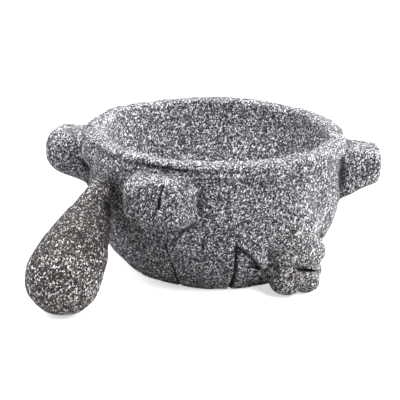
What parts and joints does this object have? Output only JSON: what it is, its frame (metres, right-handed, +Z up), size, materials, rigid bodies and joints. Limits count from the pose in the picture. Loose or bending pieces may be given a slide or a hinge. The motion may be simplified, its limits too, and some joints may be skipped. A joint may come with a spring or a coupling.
{
  "type": "molcajete",
  "caption": "Stone mortar cut from one block, with paws, a head and incised shell lines, and the loose hand stone that leans against its wall.",
  "frame": {"origin": "centre of the mortar's flat base, on the surface that it stands on", "axes": "+Z up; -Y towards the head; the tejolote leans on the -X side"},
  "size_m": [0.2954, 0.2139, 0.106],
  "materials": {
    "mortar_stone": "pecked grey volcanic stone with pale flecks, matte",
    "tejolote_stone": "darker, browner volcanic stone with crisp white flecks, matte"
  },
  "bodies": {
    "mortar": {"mortar": "mortar_stone"},
    "tejolote": {"tejolote": "tejolote_stone"}
  },
  "joints": [
    {"name": "tejolote_lift", "type": "slide", "parent": "mortar", "child": "tejolote", "axis": [-0.8067, -0.1422, 0.5736], "range_m": [0, 0.25]}
  ]
}
